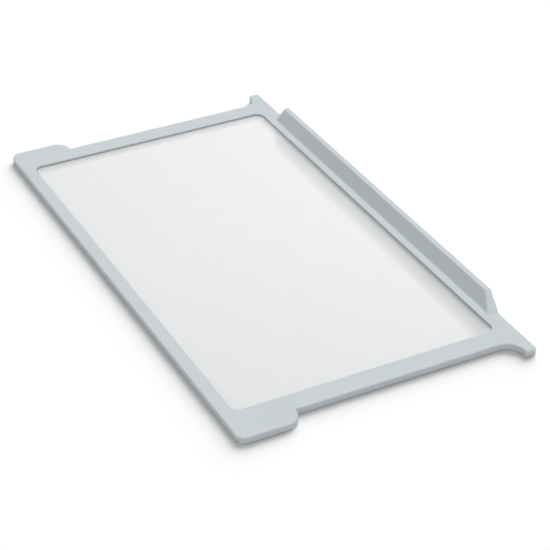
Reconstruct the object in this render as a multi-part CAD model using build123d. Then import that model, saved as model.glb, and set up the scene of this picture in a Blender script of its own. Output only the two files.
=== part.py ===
from build123d import *
from math import hypot
import os

# Fridge glass shelf: a tempered glass pane captured in one moulded plastic frame.
# Millimetres. X runs across the cabinet, the front edge faces -Y, +Z is up.
# The origin lies under the middle of the shelf, on the plane that the frame stands on.

# Frame in plan
frame_width = 470.0  # across the two plain side edges
frame_depth = 270.5  # front edge to rear edge
front_border = 11.2  # outer edge to the opening
side_border = 18.9
rear_border = 15.9
opening_radius = 8.0

# Front tabs, which lie on the cabinet's ledges
tab_reach = 14.8  # beyond the side edge
tab_length = 55.9  # along the side, from the front edge
front_corner_radius = 8.0
tab_end_radius = 13.2
tab_notch_radius = 1.2  # inside corner between the tab and the side edge

# Rear ears, which hook into the cabinet's side slots
ear_reach = 18.4
ear_depth = 10.0
ear_tip_radius = 1.6
ear_root_radius = 15.5  # hollow curve from the side edge into the ear

# Section of the frame
lip_thickness = 1.5  # above the pane
glass_thickness = 4.0
seat_thickness = 1.9  # below the pane
glass_bite = 6.5  # pane runs under the lip by this much
seat_relief = 4.5  # the seat's opening stands back from the lip's
glass_corner_radius = 12.0
top_edge_radius = 1.4
lip_edge_radius = 0.6
foot_edge_radius = 1.0

# Coring of the thick places, from below
wall = 2.4
core_rib = 1.6
side_rib_count = 4  # cross ribs in each side channel
tab_rib_count = 2  # cross ribs under each tab

# Rear guard: a wall that leans back, with webs behind it
guard_height = 17.0  # above the frame's top face
guard_lean = 3.4  # its front moves back by this much over the height
guard_thickness = 5.4  # at its top
guard_foot_thickness = 3.2
guard_length = 391.6  # at its foot
guard_end_taper = 12.0  # each end draws in by this much over the height
guard_corner_radius = 3.0
guard_top_radius = 0.8
guard_rear_gap = 0.7  # top of the wall to the frame's rear face
cove_size = 1.2  # hollow fillet along the wall's foot
cove_flatness = 1.12  # its radius, against one that meets both faces in line
web_count = 6
web_thickness = 2.2
web_spread = 2.4  # heels of the end webs stand out from the wall's ends
web_sink = 0.3  # end webs run into the wall by this share of their foot

# Places worked out from these
front_y = -frame_depth / 2
rear_y = frame_depth / 2
side_x = frame_width / 2
tab_x = side_x + tab_reach
tab_y = front_y + tab_length
ear_x = side_x + ear_reach
ear_y = rear_y - ear_depth
lip_z = seat_thickness + glass_thickness
top_z = lip_z + lip_thickness
open_width = frame_width - 2 * side_border
open_depth = frame_depth - front_border - rear_border
open_y = (front_border - rear_border) / 2
guard_top_z = top_z + guard_height
guard_root_z = top_z - wall / 2  # foot of the wall, sunk into the frame's top
guard_slope = guard_lean / guard_height
guard_back_y = rear_y - guard_rear_gap
guard_face_y = guard_back_y - guard_thickness - guard_lean  # front of the wall's foot
guard_root_y = guard_face_y - guard_slope * (top_z - guard_root_z)
end_slope = guard_end_taper / guard_height
web_tip_z = guard_top_z - 2 * guard_top_radius  # webs end under the wall's rounded top

# Roundings, limited by the walls that carry them
round_share = 0.9
least_run = 0.4  # straight left between two roundings of the plan
tab_end_round = min(tab_end_radius, tab_reach - tab_notch_radius - least_run)
ear_root_round = min(ear_root_radius, ear_reach - ear_tip_radius - least_run)
top_edge_round = min(top_edge_radius, round_share * ear_tip_radius)
lip_edge_round = min(lip_edge_radius, round_share * lip_thickness)
foot_edge_round = min(foot_edge_radius, round_share * ear_tip_radius)
guard_corner_round = min(guard_corner_radius, round_share * guard_foot_thickness)


def frame_outline():
    """Plan of the frame's outer wall, with its tabs and ears."""
    right = FilletPolyline(
        (0, front_y),
        (tab_x, front_y),
        (tab_x, tab_y),
        (side_x, tab_y),
        (side_x, ear_y),
        (ear_x, ear_y),
        (ear_x, rear_y),
        (0, rear_y),
        radius=[
            front_corner_radius,
            tab_end_round,
            tab_notch_radius,
            ear_root_round,
            ear_tip_radius,
            ear_tip_radius,
        ],
    )
    return make_face(right + mirror(right, about=Plane.YZ))


def opening(grow, radius):
    """Rounded rectangle round the opening, larger by grow on each side."""
    return Pos(0, open_y) * RectangleRounded(open_width + 2 * grow, open_depth + 2 * grow, radius)


def glass_pane():
    pane = opening(glass_bite, glass_corner_radius)
    return Pos(0, 0, seat_thickness) * extrude(pane, glass_thickness)


def spread(low, high, count):
    """Places that divide the stretch from low to high into count + 1 equal bays."""
    return [low + (high - low) * (i + 1) / (count + 1) for i in range(count)]


def web_places():
    """X of each web behind the guard, measured at its foot; the outer two stand at its ends."""
    reach = (guard_length - web_thickness) / 2
    return [-reach, *spread(-reach, reach, web_count - 2), reach]


def coring(outline):
    """Channel under the sides, tabs, ears and rear, one wall in from each face and divided by ribs."""
    region = offset(outline, -wall) - offset(opening(glass_bite, glass_corner_radius), wall)
    cross_ribs = [
        *spread(front_y, tab_y, tab_rib_count),
        tab_y - wall / 2,
        *spread(tab_y, ear_y, side_rib_count),
    ]
    for y in cross_ribs:
        region -= Pos(0, y) * Rectangle(2 * ear_x, core_rib)
    for x in web_places():
        region -= Pos(x, rear_y) * Rectangle(core_rib, 2 * rear_border)
    for x in (-side_x, side_x):
        region -= Pos(x, front_y) * Rectangle(core_rib, 2 * tab_length)
    return extrude(region, top_z - wall)


def frame_body():
    """Border of the shelf, with the groove between its lip and its seat that holds the pane."""
    outline = frame_outline()
    body = extrude(outline, top_z)
    body = fillet(body.faces().sort_by(Axis.Z)[-1].edges(), top_edge_round)
    body = fillet(body.faces().sort_by(Axis.Z)[0].edges(), foot_edge_round)
    body -= extrude(opening(0, opening_radius), 2 * top_z)
    lip_edge = body.faces().sort_by(Axis.Z)[-1].inner_wires()[0]
    body = fillet(lip_edge.edges(), lip_edge_round)
    body -= extrude(opening(seat_relief, opening_radius + seat_relief), seat_thickness)
    return body - glass_pane() - coring(outline)


def along_x(section, length):
    """Solid of a Y-Z outline carried along X, centred on the shelf."""
    return extrude(Plane.YZ * make_face(section), length / 2, both=True)


def guard_section():
    """Y-Z outline of the leaning wall, from its sunk foot to its thicker top."""
    return Polyline(
        (guard_root_y, guard_root_z),
        (guard_face_y + guard_lean, guard_top_z),
        (guard_back_y, guard_top_z),
        (guard_root_y + guard_foot_thickness, guard_root_z),
        close=True,
    )


def guard_end_x(z):
    """X of the guard's right end at a height."""
    return guard_length / 2 - end_slope * (z - top_z)


def guard_profile():
    """Solid between the guard's sloping ends, carried right through the shelf along Y."""
    low = guard_end_x(guard_root_z)
    high = guard_end_x(guard_top_z)
    outline = Polyline(
        (-low, guard_root_z),
        (low, guard_root_z),
        (high, guard_top_z),
        (-high, guard_top_z),
        close=True,
    )
    return extrude(Plane.XZ * make_face(outline), frame_depth, both=True)


def guard_wall():
    """Leaning wall with sloping ends, rounded at its front corners and along its top."""
    plate = along_x(guard_section(), 2 * guard_length) & guard_profile()
    front = plate.faces().sort_by(lambda face: face.normal_at().Y)[0]
    plate = fillet(front.edges().filter_by(Axis.X, reverse=True), guard_corner_round)
    return fillet(plate.faces().sort_by(Axis.Z)[-1].edges(), guard_top_radius)


def guard_cove():
    """Hollow fillet along the wall's foot, drawn in to nothing at its two ends."""
    toe_y = guard_face_y - cove_size
    head_y = guard_face_y + guard_slope * cove_size
    head_z = top_z + cove_size
    core_y = head_y + guard_foot_thickness / 2
    section = RadiusArc((toe_y, top_z), (head_y, head_z), -cove_size * cove_flatness)
    section += Polyline(
        (head_y, head_z),
        (core_y, head_z),
        (core_y, guard_root_z),
        (toe_y, guard_root_z),
        (toe_y, top_z),
    )
    foot = guard_length / 2 - end_slope * cove_size - guard_corner_round * hypot(1, end_slope)
    plan = Polyline(
        (-foot, rear_y),
        (-foot, guard_face_y),
        (-foot + cove_size, toe_y),
        (foot - cove_size, toe_y),
        (foot, guard_face_y),
        (foot, rear_y),
        close=True,
    )
    return along_x(section, guard_length) & extrude(make_face(plan), guard_top_z)


def end_web():
    """Triangular web that closes the guard's right end, behind the wall."""
    rise = (web_tip_z - guard_root_z) / (guard_top_z - guard_root_z)
    foot = Vector(guard_end_x(guard_root_z), guard_root_y + guard_foot_thickness, guard_root_z)
    heel = Vector(foot.X + web_spread, guard_back_y, guard_root_z)
    tip = Vector(guard_end_x(web_tip_z), foot.Y + rise * (guard_back_y - foot.Y), web_tip_z)
    outline = Polyline(tip, heel, foot + (foot - heel) * web_sink, close=True)
    return extrude(make_face(outline), web_thickness, dir=(-1, 0, 0))


def guard_webs():
    """Triangular webs between the leaning wall and the frame's rear edge."""
    low_y = guard_face_y + guard_foot_thickness / 2
    section = Polyline(
        (low_y, guard_root_z),
        (low_y + guard_lean, web_tip_z),
        (guard_back_y, web_tip_z),
        (guard_back_y, guard_root_z),
        close=True,
    )
    right = end_web()
    webs = right + mirror(right, about=Plane.YZ)
    for x in web_places()[1:-1]:
        webs += Pos(x, 0) * along_x(section, web_thickness)
    return webs


def moulded_frame():
    return frame_body() + guard_wall() + guard_cove() + guard_webs()


os.makedirs("parts", exist_ok=True)
export_step(glass_pane(), "parts/glass_pane.step")
export_step(moulded_frame(), "parts/moulded_frame.step")
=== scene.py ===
import math

import bpy
import numpy as np
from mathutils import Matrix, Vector


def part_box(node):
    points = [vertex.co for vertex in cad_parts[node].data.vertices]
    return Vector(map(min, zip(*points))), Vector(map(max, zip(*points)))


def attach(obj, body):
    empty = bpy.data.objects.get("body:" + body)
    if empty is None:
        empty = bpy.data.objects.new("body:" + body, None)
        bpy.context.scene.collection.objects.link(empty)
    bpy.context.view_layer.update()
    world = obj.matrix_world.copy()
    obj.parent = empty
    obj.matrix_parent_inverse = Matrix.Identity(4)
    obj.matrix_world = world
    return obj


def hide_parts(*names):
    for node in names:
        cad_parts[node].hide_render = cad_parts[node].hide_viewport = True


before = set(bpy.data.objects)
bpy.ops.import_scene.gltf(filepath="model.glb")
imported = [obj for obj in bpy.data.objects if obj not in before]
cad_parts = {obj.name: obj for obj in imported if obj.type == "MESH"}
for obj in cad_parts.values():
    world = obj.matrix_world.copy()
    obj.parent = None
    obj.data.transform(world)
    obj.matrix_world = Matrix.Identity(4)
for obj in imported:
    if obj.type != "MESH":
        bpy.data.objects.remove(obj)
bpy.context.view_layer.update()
scene = bpy.context.scene
mm = 0.001
print("frame loaded:", sorted(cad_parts))


class Wire:  # one output socket; arithmetic and comparisons on it add Math nodes
    def __init__(self, finish, socket):
        self.finish = finish
        self.socket = socket

    def __add__(self, other):
        return self.finish.maths("ADD", self, other)

    def __radd__(self, other):
        return self.finish.maths("ADD", other, self)

    def __mul__(self, other):
        return self.finish.maths("MULTIPLY", self, other)

    def __rmul__(self, other):
        return self.finish.maths("MULTIPLY", other, self)

    def __lt__(self, other):
        return self.finish.maths("LESS_THAN", self, other)

    def __gt__(self, other):
        return self.finish.maths("GREATER_THAN", self, other)

    def __abs__(self):
        return self.finish.maths("ABSOLUTE", self)


class Finish:  # one node tree, of a material or of the world
    def __init__(self, owner):
        self.owner = owner
        owner.use_nodes = True
        self.tree = owner.node_tree
        self.tree.nodes.clear()

    def add(self, kind, settings, sockets, output=None):  # settings come first, then values or links
        node = self.tree.nodes.new(kind)
        for key, value in settings.items():
            setattr(node, key, value)
        for key, value in sockets.items():
            if isinstance(value, Wire):
                self.tree.links.new(value.socket, node.inputs[key])
            else:
                node.inputs[key].default_value = value
        return None if output is None else Wire(self, node.outputs[output])

    def place(self, kind="Object"):
        return self.add("ShaderNodeTexCoord", {}, {}, kind)

    def part(self, axis, kind="Object"):  # one coordinate of the place
        return self.add("ShaderNodeSeparateXYZ", {}, {"Vector": self.place(kind)}, axis)

    def maths(self, operation, *values):
        return self.add("ShaderNodeMath", {"operation": operation}, dict(enumerate(values)), 0)

    def ray(self, name):
        return self.add("ShaderNodeLightPath", {}, {}, name)

    def noise(self, where, scale, detail):
        sockets = {"Vector": where, "Scale": scale, "Detail": detail}
        return self.add("ShaderNodeTexNoise", {}, sockets, "Fac")

    def blend(self, share, first, second):  # two colours by a share; sockets 6, 7 and 2 are its colours
        return self.add("ShaderNodeMix", {"data_type": "RGBA"}, {0: share, 6: first, 7: second}, 2)

    def background(self, strength):
        sockets = {"Color": (1, 1, 1, 1), "Strength": strength}
        return self.add("ShaderNodeBackground", {}, sockets, "Background")

    def mixShaders(self, share, first, second):
        return self.add("ShaderNodeMixShader", {}, {0: share, 1: first, 2: second}, 0)


def shade(red, green, blue):  # 0..255 as seen on a screen, to the linear colour that a socket takes
    seen = np.array([red, green, blue]) / 255
    linear = np.where(seen <= 0.04045, seen / 12.92, ((seen + 0.055) / 1.055) ** 2.4)
    return (*linear.tolist(), 1.0)


plasticLook = {
    "pale": shade(202, 209, 213),
    "deep": shade(197, 204, 208),
    "cloudScale": 14,  # slow drift of the pigment, waves per metre
    "cloudDetail": 3,
    "grainScale": 1500,  # fine grain of the mould's face
    "grainDetail": 2,
    "grainHeight": 0.02 * mm,
    "grainStrength": 0.35,
    "roughLow": 0.42,
    "roughHigh": 0.58,
    "ior": 1.46,
}


def paleGreyPlastic(look):
    finish = Finish(bpy.data.materials.new("paleGreyPlastic"))
    where = finish.place()
    cloud = finish.noise(where, look["cloudScale"], look["cloudDetail"])
    grain = finish.noise(where, look["grainScale"], look["grainDetail"])
    bump = finish.add("ShaderNodeBump", {}, {
        "Strength": look["grainStrength"],
        "Distance": look["grainHeight"],
        "Height": grain,
    }, "Normal")
    body = finish.add("ShaderNodeBsdfPrincipled", {}, {
        "Base Color": finish.blend(cloud, look["deep"], look["pale"]),
        "Roughness": look["roughLow"] + (look["roughHigh"] - look["roughLow"]) * grain,
        "IOR": look["ior"],
        "Normal": bump,
    }, "BSDF")
    finish.add("ShaderNodeOutputMaterial", {}, {"Surface": body})
    return finish.owner


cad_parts["moulded_frame"].material_slots[0].material = paleGreyPlastic(plasticLook)
print("moulded frame finished")


glassLook = {
    "tint": (0.917, 0.928, 0.922, 1.0),
    "clearShare": 0.67,  # of the light goes through; the rest is a white haze, as the photo shows it
    "shadowTint": (0.899, 0.907, 0.903, 1.0),  # light that the pane lets down to what is under it
    "smearScale": 9,  # faint smears in the polish, waves per metre
    "smearDetail": 4,
    "roughLow": 0.0,
    "roughHigh": 0.03,
    "ior": 1.52,
}


def paneGlass(look):
    finish = Finish(bpy.data.materials.new("paneGlass"))
    smear = finish.noise(finish.place(), look["smearScale"], look["smearDetail"])
    body = finish.add("ShaderNodeBsdfPrincipled", {}, {
        "Base Color": look["tint"],
        "Roughness": look["roughLow"] + (look["roughHigh"] - look["roughLow"]) * smear,
        "IOR": look["ior"],
        "Transmission Weight": look["clearShare"],
    }, "BSDF")
    clear = finish.add("ShaderNodeBsdfTransparent", {}, {"Color": look["shadowTint"]}, "BSDF")
    passing = finish.ray("Is Shadow Ray") + finish.ray("Is Diffuse Ray")  # light for what lies below
    finish.add("ShaderNodeOutputMaterial", {}, {"Surface": finish.mixShaders(passing, body, clear)})
    return finish.owner


pane = {
    "cornerRadius": 12 * mm,
    "clearance": 0.1 * mm,  # to the groove, on every side
    "arris": 0.6 * mm,  # ground edge
    "cornerSteps": 16,
}


# Rounded outline: quarter circles about four corner centres. Each point gets its centre and direction.
def roundedOutline(low, high, radius, steps):
    turn = np.linspace(0, math.pi / 2, steps)
    angle = (np.arange(4)[:, None] * math.pi / 2 + turn).ravel()
    left, front = low[:2] + radius
    right, rear = high[:2] - radius
    centre = np.repeat([(right, rear), (left, rear), (left, front), (right, front)], steps, axis=0)
    return centre, np.stack([np.cos(angle), np.sin(angle)], axis=1)


# Pane: a profile of four points, from the top face over the ground edges to the bottom face, carried
# round that outline. A point is its corner's centre plus its direction times the radius less the inset.
def buildPane(plan):
    low, high = (np.array(corner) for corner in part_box("glass_pane"))
    low, high = low + plan["clearance"], high - plan["clearance"]
    radius, arris = plan["cornerRadius"], plan["arris"]
    inset = np.array([arris, 0, 0, arris])
    level = np.array([high[2], high[2] - arris, low[2] + arris, low[2]])
    centre, away = roundedOutline(low, high, radius, plan["cornerSteps"])
    count = len(centre)
    flat = centre + (radius - inset)[:, None, None] * away
    points = np.column_stack([flat.reshape(-1, 2), np.repeat(level, count)])
    i = np.arange(count)
    j = (i + 1) % count
    start = np.arange(len(level))[:, None] * count  # first point of each ring
    upper, lower = start[:-1], start[1:]
    quads = np.stack([upper + j, upper + i, lower + i, lower + j], axis=-1).reshape(-1, 4)
    bottom = start[-1] + i[::-1]
    mesh = bpy.data.meshes.new("polished_pane")
    mesh.from_pydata(points.tolist(), [], [i.tolist(), *quads.tolist(), bottom.tolist()])
    mesh.validate()
    piece = bpy.data.objects.new("polished_pane", mesh)
    scene.collection.objects.link(piece)
    return piece


glass = buildPane(pane)
glass.data.materials.append(paneGlass(glassLook))
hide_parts("glass_pane")
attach(glass, "root")
print("pane built:", len(glass.data.polygons), "faces")


stage = {
    "reach": 12.0,  # half the floor's side
    "seen": (1.0, 1.0, 1.0, 1.0),  # to the camera, and in gloss and glass
    "bounce": (0.87, 0.85, 0.81, 1.0),  # in the light that it throws back at the shelf
    "bodyWidth": 470 * mm,  # across the frame's plain side edges
    "tabReach": 14.8 * mm,  # beyond those edges
    "tabLength": 55.9 * mm,  # along the side, from the front edge
    "earDepth": 10 * mm,  # along the side, from the rear edge
    "footprintInset": 1 * mm,  # from the frame's edges to where light comes up
    "paneGap": 2.1 * mm,  # pane's edge to the sheet under it, which stays clear of the seat
    "paneLift": 1.8 * mm,  # just under the pane, for a narrow dark line along the lip
}


# Footprint: half width, front and rear of the body, the tabs and the ears, just inside their edges
def footprint(plan):
    low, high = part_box("moulded_frame")
    inset = plan["footprintInset"]
    bodyHalf = plan["bodyWidth"] / 2
    front, rear = low[1] + inset, high[1] - inset
    return [
        (bodyHalf - inset, front, rear),
        (bodyHalf + plan["tabReach"] - inset, front, low[1] + plan["tabLength"] - inset),
        (high[0] - inset, high[1] - plan["earDepth"] + inset, rear),
    ]


# White paint that is clear from below, and in some rectangles lets light up to the underside
def whiteFloor(name, plan, openings):
    finish = Finish(bpy.data.materials.new(name))
    bounced = finish.ray("Is Diffuse Ray")
    paint = finish.add("ShaderNodeBsdfDiffuse", {}, {
        "Color": finish.blend(bounced, plan["seen"], plan["bounce"]),
    }, "BSDF")
    clear = finish.add("ShaderNodeBsdfTransparent", {}, {}, "BSDF")
    through = finish.add("ShaderNodeNewGeometry", {}, {}, "Backfacing")
    for half, front, rear in openings:
        across, along = finish.part("X"), finish.part("Y")
        through += bounced * (abs(across) < half) * (along > front) * (along < rear)
    finish.add("ShaderNodeOutputMaterial", {}, {"Surface": finish.mixShaders(through, paint, clear)})
    return finish.owner


# Sheet: a level rectangle between two corners
def floorSheet(name, low, high, level, paint):
    left, front = low
    right, rear = high
    corners = [(left, front, level), (right, front, level), (right, rear, level), (left, rear, level)]
    mesh = bpy.data.meshes.new(name)
    mesh.from_pydata(corners, [], [(0, 1, 2, 3)])
    mesh.materials.append(paint)
    sheet = bpy.data.objects.new(name, mesh)
    scene.collection.objects.link(sheet)
    return sheet


# Floor all round, and a sheet under the pane that has the pane's light
def buildFloor(plan):
    reach, gap = plan["reach"], plan["paneGap"]
    paint = whiteFloor("whiteFloor", plan, footprint(plan))
    floor = floorSheet("floor", (-reach, -reach), (reach, reach), 0, paint)
    low, high = (np.array(corner[:2]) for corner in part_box("glass_pane"))
    paint = whiteFloor("whiteUnderPane", plan, [])
    underPane = floorSheet("floorUnderPane", low + gap, high - gap, plan["paneLift"], paint)
    return floor, underPane


sky = {
    "share": 0.38,  # of the light on a level face, from all round
    "below": 0.5,  # on the underside
    "seen": 1.0,  # white to the camera, and in gloss and glass
}


def buildSky(plan):
    world = bpy.data.worlds.new("studio")
    scene.world = world
    finish = Finish(world)
    seen = finish.ray("Is Camera Ray") + finish.ray("Is Glossy Ray") + finish.ray("Is Transmission Ray")
    below = finish.part("Z", "Generated") < 0.0  # the direction's own height
    upper, lower = finish.background(plan["share"]), finish.background(plan["below"])
    lit = finish.mixShaders(below, upper, lower)
    surface = finish.mixShaders(seen, lit, finish.background(plan["seen"]))
    finish.add("ShaderNodeOutputWorld", {}, {"Surface": surface})


overheadLamp = {  # for the frame
    "share": 0.62,  # of the light on a level face
    "azimuth": 328,  # where it stands, turned from +X towards +Y
    "elevation": 75,
    "angle": 50,  # how wide it looks from the shelf
    "distance": 60.0,
}

floorLamp = {  # for the soft shadow on the floor
    "share": 0.63,
    "azimuth": 133,
    "elevation": 30,
    "angle": 55,
    "distance": 600.0,  # far, so that the whole floor is lit alike
}

paneLamp = {  # near, so that the pane is brightest at its rear edge
    "share": 0.38,
    "azimuth": 105,
    "elevation": 66,
    "angle": 40,
    "distance": 1.1,
}

lowLamp = {  # narrow, for the guard's shadow on the pane
    "share": 0.26,
    "azimuth": 141,
    "elevation": 26.8,
    "angle": 7,
    "distance": 12.0,
}


def direction(azimuth, elevation):  # in degrees, turned from +X towards +Y and raised from there
    turn, rise = math.radians(azimuth), math.radians(elevation)
    return Vector((math.cos(turn) * math.cos(rise), math.sin(turn) * math.cos(rise), math.sin(rise)))


# Disc lamp for some pieces only. If half of it is seen as an angle a, it lights a level face by
# radiance * sin(a)^2 * sin(elevation), and its power is radiance * pi * area.
def buildLamp(name, plan, lit):
    away = direction(plan["azimuth"], plan["elevation"])
    half = math.radians(plan["angle"] / 2)
    radius = plan["distance"] * math.tan(half)
    radiance = plan["share"] / (math.sin(half) ** 2 * away.z)
    lamp = bpy.data.lights.new(name, "AREA")
    lamp.shape = "DISK"
    lamp.size = 2 * radius
    lamp.energy = radiance * math.pi * (math.pi * radius ** 2)
    holder = bpy.data.objects.new(name, lamp)
    holder.location = away * plan["distance"]
    holder.rotation_mode = "QUATERNION"
    holder.rotation_quaternion = away.to_track_quat("Z", "Y")
    holder.visible_camera = False
    holder.visible_glossy = False
    holder.visible_transmission = False
    scene.collection.objects.link(holder)
    receivers = bpy.data.collections.new(name + "Receivers")
    for piece in lit:
        receivers.objects.link(piece)
    holder.light_linking.receiver_collection = receivers


photoView = {
    "target": (58.64 * mm, -5.66 * mm, 7.4 * mm),
    "azimuth": 62.64,  # where the camera stands, turned from -Y towards +X
    "elevation": 33.13,
    "distance": 1579.9 * mm,
    "focalPixels": 1814,
    "imageSide": 550,  # pixels
    "shiftPixels": (-0.5, 0.5),
    "sensorWidth": 36,  # millimetres, as Blender counts a lens
}


def buildCamera(plan):
    data = bpy.data.cameras.new("photoCamera")
    data.sensor_width = plan["sensorWidth"]
    data.lens = plan["focalPixels"] / plan["imageSide"] * plan["sensorWidth"]
    data.shift_x, data.shift_y = (shift / plan["imageSide"] for shift in plan["shiftPixels"])
    back = direction(plan["azimuth"] - 90, plan["elevation"])
    camera = bpy.data.objects.new("photoCamera", data)
    camera.location = Vector(plan["target"]) + back * plan["distance"]
    camera.rotation_mode = "QUATERNION"
    camera.rotation_quaternion = (-back).to_track_quat("-Z", "Y")
    scene.collection.objects.link(camera)
    scene.camera = camera


floor, underPane = buildFloor(stage)
buildSky(sky)
buildLamp("overheadLamp", overheadLamp, [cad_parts["moulded_frame"]])
buildLamp("floorLamp", floorLamp, [floor])
buildLamp("paneLamp", paneLamp, [glass, underPane])
buildLamp("lowLamp", lowLamp, [glass, underPane])
buildCamera(photoView)
scene.view_settings.view_transform = "Standard"
print("stage, light and camera set")
